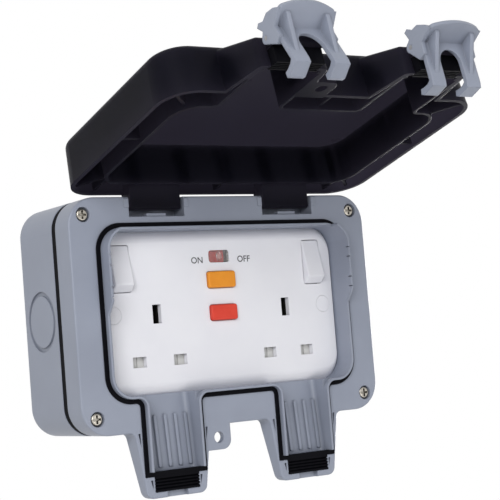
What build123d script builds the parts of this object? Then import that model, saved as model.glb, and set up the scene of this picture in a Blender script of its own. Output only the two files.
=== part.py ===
"""Outdoor weatherproof two-way mains socket: wall box, front frame, hinged lid and switched plate."""
import os
from math import cos, radians, sin, tan

from build123d import *

os.makedirs("parts", exist_ok=True)

# Driving dimensions in millimetres. X runs to the right, Y into the wall and Z up.
# The origin is the centre of the back face. A height is a distance out from the wall, along -Y.

# Enclosure body
body_width = 168.5
body_height = 109.4
body_corner = 14.0
box_depth = 34.0
box_wall = 2.8
box_floor = 3.0
gasket_depth = 4.3
gasket_inset = 0.3
gasket_width = 4.5
frame_depth = 13.7
frame_wall = 2.5
frame_face = 3.0
frame_edge = 0.8
cut_margin = 1.0

# Corner screws that hold the frame to the box
screw_side_inset = 7.85
screw_end_inset = 8.0
screw_radius = 2.0
screw_head_radius = 3.0
screw_head_height = 2.0
screw_sink = 2.6
screw_sink_radius = 3.5
screw_length = 30.0
screw_post_radius = 4.4
cross_slot_width = 1.0
cross_slot_length = 4.0
cross_slot_depth = 1.4

# Holes for fixing the box to the wall
wall_hole_side_inset = 34.25
wall_hole_end_inset = 12.7
wall_hole_radius = 2.25

# Round knock-outs in the side walls of the box
knockout_lift = 0.7
knockout_radius = 12.2
knockout_ring_radius = 14.2
knockout_groove = 0.9

# Recess in the frame, the lip around it and the seal outside the lip
rim_side = 16.55
rim_end = 16.25
opening_centre_z = 0.6
opening_corner = 9.5
lip_thickness = 1.2
lip_rise = 3.0
side_lip_rise = 7.8
side_lip_foot_z = 0.0
side_lip_slope = 6.0
lip_slit_width = 0.5
lip_slit_depth = 0.8
lip_slit_drop = 2.0
lip_slit_pitch = 4.8
lip_slit_centres = (10.0, 25.0)
side_lip_reach = 5.7
seal_width = 2.2
seal_groove = 2.0
seal_rise = 0.4
channel_join = 5.4

# Cable outlets below the frame
outlet_inset = 46.85
outlet_length = 30.8
outlet_end_half = 15.9
outlet_taper = 8.5
outlet_root_depth = 9.6
outlet_end_depth = 5.6
outlet_corner = 4.0
outlet_join = 3.0
channel_width = 26.6
channel_length = 17.3
channel_start_height = 43.0
channel_end_height = 46.0
channel_corner = 2.6
channel_rib_count = 5
channel_rib_pitch = 5.5
channel_rib_width = 1.6
channel_rib_height = 1.3
channel_rib_lift = 7.2
cable_seal_width = 23.8
cable_seal_length = 7.2
cable_seal_depth = 4.0
cable_seal_ridges = 5
cable_seal_groove = 1.2
exit_notch_width = 11.0
exit_notch_depth = 2.4
side_slot_width = 1.1
side_slot_depth = 5.0
side_slot_wall = 0.9
upper_slot_drop = 0.5
upper_slot_length = 6.2
lower_slot_drop = 1.6
lower_slot_length = 4.4

# Padlock lug beside the left outlet, and the matching one on the lid
lug_hole_offset = 24.6
lug_hole_drop = 6.0
lug_hole_radius = 2.65
lug_edge_offset = 31.2
lug_drop = 11.9
lug_round = 4.6
lug_thickness = 3.2

# Hinge between frame and lid
hinge_setback = 4.5
hinge_drop = 2.5
hinge_pin_radius = 1.25
hinge_pin_length = 37.0
hinge_running_gap = 0.05
press_gap = 0.01
notch_width = 30.0
notch_depth = 9.4
notch_setback = 10.0
notch_wall = 4.0
notch_stop_width = 10.5
notch_stop_rise = 1.6
notch_stop_depth = 4.0
hinge_pad_width = 2.4
hinge_pad_height = 4.2
hinge_pad_rise = 0.3
knuckle_width = 27.0
knuckle_front = 3.9
knuckle_foot = 3.4
knuckle_corner = 1.2
knuckle_web = 10.0
lid_open_angle = 105.0

# Lid
lid_side_step = 1.0
lid_end_step = -0.5
lid_corner = 16.0
lid_gap = 0.8
lid_depth = 22.3
lid_wall = 2.2
lid_crown = 2.4
lid_draft = 3.5
lid_edge = 4.0
lid_bulge_length = 23.7
lid_bulge_step = 2.8
lid_end_height = 66.0
tongue_gap = 0.4
tongue_width = 1.6
tongue_seal_gap = 0.3
lid_rib_width = 1.5
lid_rib_drop = 1.5
lid_side_rib_z = -4.0
lid_top_rib_inset = 1.7

# Latches on the lid's outlet bulges
latch_pin_rise = 11.0
latch_pin_lift = 3.1
latch_pin_radius = 1.0
latch_width = 27.0
latch_leg_width = 7.5
latch_ear_width = 2.0
latch_ear_gap = 0.3
latch_eye_radius = 2.6
latch_barrel_radius = 2.9
latch_sheet = 1.8
latch_arch_drop = 1.0
latch_tab_foot = (2.0, -6.4)
latch_tab_length = 11.6
latch_tab_shoulder = 8.4
latch_tab_round = 2.4
latch_tab_lean = 49.0
latch_fin_width = 2.0
latch_closing_angle = 22.5
# Side profiles of a loose latch, as pairs of height and Z from its pin
latch_leg_points = [
    (2.0, -6.4),
    (-14.8, -13.2),
    (-17.0, -13.6),
    (-20.8, -7.8),
    (-20.6, -6.0),
    (-18.2, -5.6),
    (-17.6, -7.5),
    (-16.3, -9.9),
    (-14.8, -11.0),
    (0.4, -4.9),
    (3.3, -5.2),
]
latch_ear_points = [
    (-2.4, 0.7),
    (0.2, 2.5),
    (3.4, 1.0),
    (6.4, 4.0),
    (8.0, 2.6),
    (7.2, -0.6),
    (9.2, -4.0),
    (8.8, -9.0),
    (7.4, -12.2),
    (1.8, -7.2),
    (-3.4, -9.0),
    (-5.8, -6.2),
]
latch_fin_points = [(5.8, -12.2), (-11.6, -11.8), (0.5, -6.0), (2.6, -6.2), (7.0, -11.4)]

# Socket plate
plate_overlap = 5.3
plate_edge_gap = 0.2
plate_corner = 8.0
plate_setback = 7.9
plate_land_drop = 2.9
plate_bevel_side = 1.0
plate_bevel_end = 5.4
plate_bevel_curve = [(0.0, 0.0), (0.3, 0.5), (0.65, 0.85), (1.0, 1.0)]
plate_sheet = 3.0
plate_skirt_depth = 4.6
plate_screw_inset = 7.4
plate_screw_radius = 1.7
plate_screw_head_radius = 3.2
plate_screw_head_height = 2.0
plate_screw_length = 28.0
plate_boss_radius = 4.4
plate_boss_depth = 5.0
cap_radius = 4.1
cap_thickness = 1.2
cap_gap = 0.1

# Pin apertures of each socket
socket_x = 37.0
earth_rise = 37.55
pin_spacing = 22.2
earth_slot_width = 4.6
earth_slot_height = 9.0
pole_slot_width = 7.2
pole_slot_height = 5.0

# Switch rockers
rocker_inset = 12.55
rocker_drop = 17.45
rocker_width = 10.7
rocker_height = 22.6
rocker_gap = 0.25
rocker_corner = 1.2
rocker_edge = 0.8
rocker_axis_drop = 1.5
rocker_top_rise = 1.4
rocker_nose_rise = 6.0
rocker_nose_drop = 7.6
rocker_foot_rise = 2.2
rocker_keel = 4.5
rocker_trunnion_radius = 0.75
rocker_trunnion_length = 1.4

# Buttons and indicator
reset_size = (15.4, 8.0)
reset_drop = 24.35
test_size = (14.8, 7.6)
test_drop = 40.35
button_rise = 2.0
button_gap = 0.25
button_corner = 1.2
button_edge = 0.7
button_flange = 1.0
button_flange_depth = 1.4
window_size = (11.6, 5.8)
window_drop = 12.95
window_corner = 1.4
window_gap = 0.1
window_thickness = 2.6
flag_travel = 7.0
flag_overlap = 1.0
flag_height = 5.0
flag_thickness = 1.0
flag_stem_width = 3.0
running_gap = 0.3

# Shutters behind the live and neutral apertures
shutter_width = 31.0
shutter_cover = 0.6
shutter_tail = 0.9
shutter_thickness = 1.6
shutter_stem_width = 3.4
shutter_stem_top_z = -7.0
shutter_groove = 0.5

# Rear moulding and what it carries
base_gap = 0.6
base_side_inset = 4.6
base_end_inset = 6.0
base_corner = 4.0
base_wall = 2.0
base_back_height = 15.0
base_notch_radius = 6.4
base_pad_low_x = 18.8
base_pad_high_x = 30.0
base_pad_inset = 4.5
base_pad_radius = 2.0
tower_wall = 1.6
contact_play = 0.5
contact_gap = 0.1
contact_length = 15.0
contact_mouth = 3.5
contact_web = 1.5
board_width = 32.0
board_end_gap = 3.45
board_thickness = 1.6
board_back = 22.0
board_post_radius = 2.5
board_post_x = 12.0
board_post_inset = 5.0
coil_radius = 9.0
coil_hole_radius = 4.5
coil_thickness = 8.0
coil_inset = 10.4
solenoid_size = (12.0, 20.0)
solenoid_corner = 2.0
solenoid_height = 9.0
solenoid_lift = 7.4
terminal_size = (10.0, 9.0)
terminal_depth = 8.0
terminal_x = 18.0
terminal_z = 22.0
terminal_hole_radius = 2.2
terminal_screw_radius = 1.6
terminal_screw_length = 5.0

# Levels and places that follow from the driving dimensions
frame_back = box_depth + gasket_depth
face = frame_back + frame_depth
body_bottom = -body_height / 2
body_top = body_height / 2
screw_x = body_width / 2 - screw_side_inset
screw_z = body_height / 2 - screw_end_inset
wall_hole_x = body_width / 2 - wall_hole_side_inset
wall_hole_z = body_height / 2 - wall_hole_end_inset
knockout_height = box_depth / 2 + knockout_lift
opening_width = body_width - 2 * rim_side
opening_height = body_height - 2 * rim_end
outlet_x = body_width / 2 - outlet_inset
outlet_end_z = body_bottom - outlet_length
channel_end_z = body_bottom - channel_length
channel_rib_top_z = body_bottom + channel_rib_lift
lug_hole_x = lug_hole_offset - outlet_x
lug_edge_x = lug_edge_offset - outlet_x
lug_hole_z = body_bottom - lug_hole_drop
lug_end_z = body_bottom - lug_drop
hinge_z = body_top - hinge_drop
notch_floor_z = body_top - notch_depth
plate_face = face - plate_setback
plate_land = plate_face - plate_land_drop
plate_back = plate_face - plate_sheet
plate_skirt = plate_land - plate_skirt_depth
plate_boss_foot = plate_back - plate_boss_depth
opening_bottom = opening_centre_z - opening_height / 2
opening_top = opening_centre_z + opening_height / 2
side_lip_inner_x = opening_width / 2 - side_lip_reach
plate_width = opening_width + 2 * plate_overlap
plate_height = 2 * (notch_floor_z - frame_wall - plate_edge_gap - opening_centre_z)
plate_screw_x = opening_width / 2 - plate_screw_inset
rocker_x = opening_width / 2 - rocker_inset
rocker_z = opening_top - rocker_drop
reset_z = opening_top - reset_drop
test_z = opening_top - test_drop
window_z = opening_top - window_drop
earth_z = opening_bottom + earth_rise
lip_top = face + lip_rise
seal_outer_grow = lip_thickness + seal_width
seal_foot = face - seal_groove
seal_top = face + seal_rise
channel_floor_slope = (channel_end_height - channel_start_height) / (opening_bottom - channel_end_z)
cable_seal_top_z = channel_end_z - seal_outer_grow
cable_seal_mid_z = cable_seal_top_z - cable_seal_length / 2
cable_seal_end_z = cable_seal_top_z - cable_seal_length
side_slots = [
    (channel_width / 2 + seal_outer_grow + side_slot_wall, body_bottom - upper_slot_drop, upper_slot_length),
    (cable_seal_width / 2 + side_slot_wall, cable_seal_top_z - lower_slot_drop, lower_slot_length),
]
hinge_height = face - hinge_setback
lid_width = body_width - 2 * lid_side_step
lid_height = body_height - 2 * lid_end_step
lid_end_z = body_bottom - lid_bulge_length
lid_top_rib_x = opening_width / 2 - lid_top_rib_inset
lid_rim = face + lid_gap
lid_top = lid_rim + lid_depth
lid_inside = lid_top - lid_crown
tongue_foot = seal_top + tongue_seal_gap
tongue_inner_grow = lip_thickness + tongue_gap
tongue_outer_grow = tongue_inner_grow + tongue_width
latch_pin_height = face + latch_pin_rise
latch_pin_z = outlet_end_z + latch_pin_lift
latch_ear_inner = (latch_width - latch_ear_width) / 2
latch_rest_angles = {"left": 0, "right": latch_closing_angle}
pole_z = earth_z - pin_spacing
pole_x = pin_spacing / 2
rocker_axis_height = plate_face - rocker_axis_drop
cap_foot = plate_face - cap_thickness
plate_screw_seat = cap_foot - running_gap - plate_screw_head_height
base_width = opening_width - 2 * base_side_inset
base_height = opening_height - 2 * base_end_inset
base_floor_height = base_back_height + base_wall
base_pad_rise = base_height / 2 - base_pad_inset
base_pads = [
    (-base_pad_low_x, opening_centre_z - base_pad_rise),
    (base_pad_low_x, opening_centre_z - base_pad_rise),
    (-base_pad_high_x, opening_centre_z + base_pad_rise),
    (base_pad_high_x, opening_centre_z + base_pad_rise),
]
board_length = base_height - 2 * board_end_gap
board_top = board_back + board_thickness
coil_z = opening_centre_z - board_length / 2 + coil_inset
solenoid_z = opening_centre_z + solenoid_lift
tower_top = plate_back - shutter_thickness - 2 * running_gap
hinge_axis = Axis((0, -hinge_height, hinge_z), (1, 0, 0))
latch_axis = Axis((0, -latch_pin_height, latch_pin_z), (1, 0, 0))
sides = {"left": -1, "right": 1}
screw_corners = [(sx * screw_x, sz * screw_z) for sx in (-1, 1) for sz in (-1, 1)]
pin_places = {
    "earth": (0, earth_z, earth_slot_width, earth_slot_height),
    "live": (pole_x, pole_z, pole_slot_width, pole_slot_height),
    "neutral": (-pole_x, pole_z, pole_slot_width, pole_slot_height),
}


def front(height):
    """Sketch plane parallel to the wall, facing out of it, with X and Z as its own axes."""
    return Plane.XZ.offset(height)


def side(x):
    """Sketch plane square to X."""
    return Plane.YZ.offset(x)


def at(height, z):
    """Point of a side profile from its height above the wall and its Z."""
    return (-height, z)


def outlet_half(z):
    """Half width of a cable outlet at a given Z."""
    return outlet_end_half + (z - outlet_end_z) * tan(radians(outlet_taper))


def finish(piece, label):
    """Label a finished piece and write it."""
    piece.part.label = label
    export_step(piece.part, f"parts/{label}.step")


def from_latch_pin(points):
    """Points of a side profile that are given from the latch pin."""
    return [at(latch_pin_height + height, latch_pin_z + z) for height, z in points]


def finish_open(piece, label):
    """Swing a piece that was drawn with the lid shut to the open lid, then write it."""
    piece.part = piece.part.rotate(hinge_axis, -lid_open_angle)
    finish(piece, label)


def shell_outline(width, height, corner, inset, end_z, join, end_corner):
    """Rounded body outline with the two tapering outlets below it."""
    root_z = -height / 2 + inset
    far_z = end_z + inset
    top_z = root_z + body_corner
    with BuildSketch() as outline:
        RectangleRounded(width - 2 * inset, height - 2 * inset, corner - inset)
        with Locations((-outlet_x, 0), (outlet_x, 0)):
            Polygon(
                (-outlet_half(top_z) + inset, top_z),
                (outlet_half(top_z) - inset, top_z),
                (outlet_half(far_z) - inset, far_z),
                (-outlet_half(far_z) + inset, far_z),
                align=None,
            )
        root_reach = outlet_x + outlet_half(root_z) + cut_margin
        roots = outline.vertices().filter_by(lambda v: abs(v.Y - root_z) < 0.01 and abs(v.X) < root_reach)
        fillet(roots, join)
        ends = outline.vertices().filter_by(lambda v: abs(v.Y - far_z) < 0.01)
        fillet(ends, end_corner)
    return outline.sketch


def opening_outline(grow):
    """Outline of the recess and both cable channels, grown outwards by a given amount."""
    bottom = opening_bottom - grow
    length = opening_centre_z - channel_end_z
    with BuildSketch() as outline:
        with Locations((0, opening_centre_z)):
            RectangleRounded(opening_width + 2 * grow, opening_height + 2 * grow, opening_corner + grow)
        with Locations((-outlet_x, channel_end_z - grow), (outlet_x, channel_end_z - grow)):
            Rectangle(channel_width + 2 * grow, length, align=(Align.CENTER, Align.MIN))
        joins = outline.vertices().filter_by(
            lambda v: abs(v.Y - bottom) < 0.01
            and abs(abs(abs(v.X) - outlet_x) - channel_width / 2 - grow) < 0.01
        )
        fillet(joins, channel_join - grow)
    return outline.sketch


def lug_outline(height):
    """Outline of a padlock lug with its hole, running well into the body beside it."""
    root_x = outlet_half(lug_end_z) - frame_wall - outlet_x
    with BuildSketch(front(height)) as outline:
        Polygon(
            (root_x, body_bottom + frame_wall),
            (lug_edge_x, body_bottom + frame_wall),
            (lug_edge_x, lug_end_z),
            (root_x, lug_end_z),
            align=None,
        )
        fillet(outline.vertices().group_by(Axis.Y)[0].sort_by(Axis.X)[-1], lug_round)
        with Locations((lug_hole_x, lug_hole_z)):
            Circle(lug_hole_radius, mode=Mode.SUBTRACT)
    return outline.sketch


frame_outline = shell_outline(
    body_width, body_height, body_corner, 0, outlet_end_z, outlet_join, outlet_corner
)
recess_outline = opening_outline(0)
lip_outline = opening_outline(lip_thickness)
seal_outline = opening_outline(seal_outer_grow)
tongue_inner_outline = opening_outline(tongue_inner_grow)
tongue_outer_outline = opening_outline(tongue_outer_grow)


# Wall box
with BuildPart() as back_box:
    with BuildSketch(front(0)):
        RectangleRounded(body_width, body_height, body_corner)
    extrude(amount=box_depth)
    with BuildSketch(front(box_floor)):
        RectangleRounded(body_width - 2 * box_wall, body_height - 2 * box_wall, body_corner - box_wall)
    extrude(amount=box_depth, mode=Mode.SUBTRACT)
    with BuildSketch(front(0)):
        with Locations(*screw_corners):
            Circle(screw_post_radius)
    extrude(amount=box_depth)
    with BuildSketch(front(0)):
        with Locations((-plate_screw_x, 0), (plate_screw_x, 0)):
            Circle(plate_boss_radius)
    extrude(amount=plate_boss_foot)
    with BuildSketch(front(box_floor)):
        with Locations(*screw_corners):
            Circle(screw_radius + press_gap)
        with Locations((-plate_screw_x, 0), (plate_screw_x, 0)):
            Circle(plate_screw_radius + press_gap)
    extrude(amount=box_depth + plate_boss_foot, mode=Mode.SUBTRACT)
    with BuildSketch(front(0)):
        with GridLocations(2 * wall_hole_x, 2 * wall_hole_z, 2, 2):
            Circle(wall_hole_radius)
    extrude(amount=box_floor, mode=Mode.SUBTRACT)
    for direction in sides.values():
        with BuildSketch(side(direction * body_width / 2)):
            with Locations(at(knockout_height, 0)):
                Circle(knockout_ring_radius)
                Circle(knockout_radius, mode=Mode.SUBTRACT)
        extrude(amount=-direction * knockout_groove, mode=Mode.SUBTRACT)
finish(back_box, "back_box")

# Gasket between box and frame
with BuildPart() as box_gasket:
    with BuildSketch(front(box_depth)):
        RectangleRounded(
            body_width - 2 * gasket_inset, body_height - 2 * gasket_inset, body_corner - gasket_inset
        )
        gasket_inner = gasket_inset + gasket_width
        RectangleRounded(
            body_width - 2 * gasket_inner,
            body_height - 2 * gasket_inner,
            body_corner - gasket_inner,
            mode=Mode.SUBTRACT,
        )
        with Locations(*screw_corners):
            Circle(screw_post_radius)
        RectangleRounded(
            body_width - 2 * gasket_inset,
            body_height - 2 * gasket_inset,
            body_corner - gasket_inset,
            mode=Mode.INTERSECT,
        )
        with Locations(*screw_corners):
            Circle(screw_radius + running_gap, mode=Mode.SUBTRACT)
    extrude(amount=gasket_depth)
finish(box_gasket, "box_gasket")

# Front frame
with BuildPart() as front_frame:
    with BuildSketch(front(frame_back)):
        add(frame_outline)
    extrude(amount=frame_depth)
    fillet(front_frame.faces().sort_by(Axis.Y)[0].edges(), frame_edge)

    # Slanted backs of the outlets
    slant_end = outlet_end_z - cut_margin
    slant_root = face - outlet_root_depth
    slant = (outlet_root_depth - outlet_end_depth) / (body_bottom - outlet_end_z)
    with BuildSketch(side(0)):
        Polygon(
            at(frame_back - cut_margin, body_bottom),
            at(slant_root, body_bottom),
            at(slant_root + slant * (body_bottom - slant_end), slant_end),
            at(frame_back - cut_margin, slant_end),
            align=None,
        )
    extrude(amount=body_width / 2, both=True, mode=Mode.SUBTRACT)

    # Hollow back, screw bosses, hinge blocks and channel floors
    with BuildSketch(front(frame_back)):
        RectangleRounded(body_width - 2 * frame_wall, body_height - 2 * frame_wall, body_corner - frame_wall)
    extrude(amount=frame_depth - frame_face, mode=Mode.SUBTRACT)
    with BuildSketch(front(frame_back)):
        with Locations(*screw_corners):
            Circle(screw_post_radius)
        with Locations((-outlet_x, notch_floor_z - frame_wall), (outlet_x, notch_floor_z - frame_wall)):
            Rectangle(
                notch_width + 2 * notch_wall,
                body_top - frame_wall / 2 - notch_floor_z + frame_wall,
                align=(Align.CENTER, Align.MIN),
            )
    extrude(amount=frame_depth - frame_face / 2)
    with BuildSketch(front(plate_land)):
        with Locations((-outlet_x, opening_bottom), (outlet_x, opening_bottom)):
            Rectangle(
                channel_width + 2 * seal_outer_grow,
                opening_bottom - body_bottom - frame_wall / 2,
                align=(Align.CENTER, Align.MAX),
            )
    extrude(amount=face - frame_face / 2 - plate_land)

    # Padlock lug, flush with the face
    extrude(lug_outline(face - lug_thickness), amount=lug_thickness)

    # Recess wall with its raised lip, taller along the upper sides
    with BuildSketch(front(plate_land)):
        add(lip_outline)
        add(recess_outline, mode=Mode.SUBTRACT)
        with Locations((0, opening_bottom - lip_thickness)):
            Rectangle(body_width, body_height, align=(Align.CENTER, Align.MAX), mode=Mode.SUBTRACT)
    extrude(amount=lip_top - plate_land)
    with BuildSketch(front(face - frame_face / 2)):
        add(lip_outline)
        add(recess_outline, mode=Mode.SUBTRACT)
    extrude(amount=lip_top - face + frame_face / 2)
    with BuildSketch(front(lip_top)):
        add(lip_outline)
        add(recess_outline, mode=Mode.SUBTRACT)
        Rectangle(2 * side_lip_inner_x, body_height, mode=Mode.SUBTRACT)
        with Locations((0, side_lip_foot_z)):
            Rectangle(body_width, body_height, align=(Align.CENTER, Align.MAX), mode=Mode.SUBTRACT)
    extrude(amount=side_lip_rise - lip_rise)
    with BuildSketch(side(0)):
        Polygon(
            at(lip_top, side_lip_foot_z),
            at(face + side_lip_rise, side_lip_foot_z),
            at(face + side_lip_rise, side_lip_foot_z + side_lip_slope),
            align=None,
        )
    extrude(amount=body_width / 2, both=True, mode=Mode.SUBTRACT)

    with BuildSketch(front(face + side_lip_rise - lip_slit_drop)):
        for centre in (-opening_width / 2, opening_width / 2):
            for z in lip_slit_centres:
                with Locations((centre, z - lip_slit_pitch / 2), (centre, z + lip_slit_pitch / 2)):
                    Rectangle(2 * lip_slit_depth, lip_slit_width)
    extrude(amount=lip_slit_drop, mode=Mode.SUBTRACT)

    # Recess, cable channels and their ribs
    with BuildSketch(front(frame_back)):
        with Locations((0, opening_centre_z)):
            RectangleRounded(opening_width, opening_height, opening_corner)
    extrude(amount=frame_depth + side_lip_rise, mode=Mode.SUBTRACT)
    channel_top = face + side_lip_rise
    for direction in sides.values():
        for z in (opening_bottom + opening_corner, channel_end_z - lip_thickness):
            floor_height = channel_start_height + (opening_bottom - z) * channel_floor_slope
            with BuildSketch(Plane.XY.offset(z)):
                with Locations((direction * outlet_x, -(floor_height + channel_top) / 2)):
                    RectangleRounded(channel_width, channel_top - floor_height, channel_corner)
        loft(mode=Mode.SUBTRACT)
        rib_mid_z = (channel_rib_top_z + channel_end_z) / 2
        rib_floor = channel_start_height + (opening_bottom - rib_mid_z) * channel_floor_slope
        rib_plane = Plane(
            origin=(direction * outlet_x, -rib_floor, rib_mid_z),
            x_dir=(1, 0, 0),
            z_dir=(0, -1, channel_floor_slope),
        )
        with BuildSketch(rib_plane.offset(-channel_rib_height)):
            with GridLocations(channel_rib_pitch, 1, channel_rib_count, 1):
                SlotOverall(channel_rib_top_z - channel_end_z, channel_rib_width, rotation=90)
        extrude(amount=2 * channel_rib_height)

    # Groove for the lid seal, pockets for the cable seals and exit notches
    with BuildSketch(front(seal_foot)):
        add(seal_outline)
        add(lip_outline, mode=Mode.SUBTRACT)
    extrude(amount=seal_groove + cut_margin, mode=Mode.SUBTRACT)
    with BuildSketch(front(face - cable_seal_depth)):
        with Locations((-outlet_x, cable_seal_mid_z), (outlet_x, cable_seal_mid_z)):
            Rectangle(cable_seal_width, cable_seal_length)
    extrude(amount=cable_seal_depth + cut_margin, mode=Mode.SUBTRACT)
    with BuildSketch(front(face - exit_notch_depth)):
        with Locations((-outlet_x, cable_seal_end_z), (outlet_x, cable_seal_end_z)):
            exit_length = cable_seal_end_z - outlet_end_z + cut_margin
            Rectangle(exit_notch_width, exit_length, align=(Align.CENTER, Align.MAX))
    extrude(amount=exit_notch_depth + cut_margin, mode=Mode.SUBTRACT)
    with BuildSketch(front(face - side_slot_depth)):
        for centre in (-outlet_x, outlet_x):
            for direction in sides.values():
                for reach, top, length in side_slots:
                    edge = centre + direction * reach
                    Polygon(
                        (edge, top),
                        (edge + direction * side_slot_width, top),
                        (edge, top - length),
                        align=None,
                    )
    extrude(amount=side_slot_depth + cut_margin, mode=Mode.SUBTRACT)

    # Hinge notches with their stops and pin holes
    with BuildSketch(front(face - notch_setback)):
        with Locations((-outlet_x, notch_floor_z), (outlet_x, notch_floor_z)):
            Rectangle(notch_width, notch_depth + cut_margin, align=(Align.CENTER, Align.MIN))
    extrude(amount=notch_setback + cut_margin, mode=Mode.SUBTRACT)
    with BuildSketch(front(face - notch_stop_depth)):
        with Locations((-outlet_x, notch_floor_z), (outlet_x, notch_floor_z)):
            Rectangle(notch_stop_width, notch_stop_rise, align=(Align.CENTER, Align.MIN))
    extrude(amount=notch_stop_depth - frame_edge)
    with BuildSketch(front(face - frame_edge)):
        for centre in (-outlet_x, outlet_x):
            for direction in sides.values():
                pad_x = centre + direction * (notch_width + hinge_pad_width) / 2
                with Locations((pad_x, body_top - frame_edge)):
                    Rectangle(hinge_pad_width, hinge_pad_height, align=(Align.CENTER, Align.MAX))
    extrude(amount=frame_edge + hinge_pad_rise)
    for centre in (-outlet_x, outlet_x):
        with BuildSketch(side(centre - hinge_pin_length / 2)):
            with Locations(at(hinge_height, hinge_z)):
                Circle(hinge_pin_radius + press_gap)
        extrude(amount=hinge_pin_length, mode=Mode.SUBTRACT)

    # Screw holes, sunk for the heads
    with BuildSketch(front(frame_back)):
        with Locations(*screw_corners):
            Circle(screw_radius + running_gap)
    extrude(amount=frame_depth, mode=Mode.SUBTRACT)
    with BuildSketch(front(face - screw_sink)):
        with Locations(*screw_corners):
            Circle(screw_sink_radius)
    extrude(amount=screw_sink + cut_margin, mode=Mode.SUBTRACT)
finish(front_frame, "front_frame")

# Corner screws with a cross recess
with BuildPart() as frame_screws:
    screw_seat = face - screw_sink
    with BuildSketch(front(screw_seat - screw_length)):
        with Locations(*screw_corners):
            Circle(screw_radius)
    extrude(amount=screw_length)
    with BuildSketch(front(screw_seat)):
        with Locations(*screw_corners):
            Circle(screw_head_radius)
    extrude(amount=screw_head_height)
    fillet(frame_screws.faces().group_by(Axis.Y)[0].edges(), screw_head_height / 2)
    with BuildSketch(front(screw_seat + screw_head_height - cross_slot_depth)):
        with Locations(*screw_corners):
            Rectangle(cross_slot_length, cross_slot_width)
            Rectangle(cross_slot_width, cross_slot_length)
    extrude(amount=cross_slot_depth, mode=Mode.SUBTRACT)
finish(frame_screws, "frame_screws")

# Seal strip around the recess and the channels
with BuildPart() as lid_seal:
    with BuildSketch(front(seal_foot)):
        add(seal_outline)
        add(lip_outline, mode=Mode.SUBTRACT)
    extrude(amount=seal_groove + seal_rise)
finish(lid_seal, "lid_seal")


def ridge_grooves(surface, bottom):
    """Profile of the grooves between the ridges of a cable seal, from its open surface inwards."""
    pitch = cable_seal_length / cable_seal_ridges
    with BuildSketch(side(0)) as grooves:
        for index in range(1, cable_seal_ridges):
            z = cable_seal_top_z - index * pitch
            Polygon(
                at(surface, z - pitch / 3),
                at(surface, z + pitch / 3),
                at(bottom, z),
                align=None,
            )
    return grooves.sketch


# Cable seals in the frame
for name, direction in sides.items():
    with BuildPart() as cable_seal:
        with BuildSketch(front(face - cable_seal_depth)):
            with Locations((direction * outlet_x, cable_seal_mid_z)):
                Rectangle(cable_seal_width, cable_seal_length)
        extrude(amount=cable_seal_depth + seal_rise)
        grooves = ridge_grooves(seal_top, seal_top - cable_seal_groove)
        extrude(grooves, amount=body_width / 2, both=True, mode=Mode.SUBTRACT)
    finish(cable_seal, f"cable_seal_{name}")

# Hinge pins
for name, direction in sides.items():
    with BuildPart() as hinge_pin:
        with BuildSketch(side(direction * outlet_x - hinge_pin_length / 2)):
            with Locations(at(hinge_height, hinge_z)):
                Circle(hinge_pin_radius)
        extrude(amount=hinge_pin_length)
    finish(hinge_pin, f"hinge_pin_{name}")


def sloped_crown(drop):
    """Profile of what the slope of the crown over the outlets takes off, lowered by a given amount."""
    slope = (lid_top - lid_bulge_step - lid_end_height) / (-lid_height / 2 - lid_end_z)
    far_z = lid_end_z - lid_wall
    far_height = lid_end_height - drop - slope * lid_wall
    near_height = lid_top + cut_margin
    with BuildSketch(side(0)) as profile:
        Polygon(
            at(far_height, far_z),
            at(near_height, far_z),
            at(near_height, far_z + (near_height - far_height) / slope),
            align=None,
        )
    return profile.sketch


def bulge_outline(inset):
    """Outline of both outlet bulges of the lid, drawn well into its main form."""
    far_z = lid_end_z + inset
    root_z = -lid_height / 2 + lid_corner
    with BuildSketch(front(lid_rim)) as outline:
        with Locations((-outlet_x, 0), (outlet_x, 0)):
            Polygon(
                (-outlet_half(root_z) + inset, root_z),
                (outlet_half(root_z) - inset, root_z),
                (outlet_half(far_z) - inset, far_z),
                (-outlet_half(far_z) + inset, far_z),
                align=None,
            )
        fillet(outline.vertices().group_by(Axis.Y)[0], outlet_join)
    return outline.sketch


# Lid, drawn shut: outer form, hollow, and the walls inside it
with BuildPart() as lid_bulges:
    extrude(bulge_outline(0), amount=lid_depth, taper=lid_draft)
    extrude(sloped_crown(0), amount=lid_width / 2, both=True, mode=Mode.SUBTRACT)
    crowns = lid_bulges.faces().filter_by(lambda f: f.normal_at().Y < -0.5 and f.normal_at().Z < -0.1)
    fillet(crowns.edges().filter_by(lambda e: e.center().Z < -lid_height / 2 - cut_margin), lid_edge / 2)

with BuildPart() as bulge_hollows:
    extrude(bulge_outline(lid_wall), amount=lid_depth - lid_crown, taper=lid_draft)
    extrude(sloped_crown(lid_crown), amount=lid_width / 2, both=True, mode=Mode.SUBTRACT)

with BuildPart() as lid_form:
    with BuildSketch(front(lid_rim)):
        RectangleRounded(lid_width, lid_height, lid_corner)
    extrude(amount=lid_depth, taper=lid_draft)
    fillet(lid_form.faces().sort_by(Axis.Y)[0].edges(), lid_edge)
    add(lid_bulges.part)

with BuildPart() as lid_hollow:
    with BuildSketch(front(lid_rim)):
        RectangleRounded(lid_width - 2 * lid_wall, lid_height - 2 * lid_wall, lid_corner - lid_wall)
    extrude(amount=lid_depth - lid_crown, taper=lid_draft)
    add(bulge_hollows.part)

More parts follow.
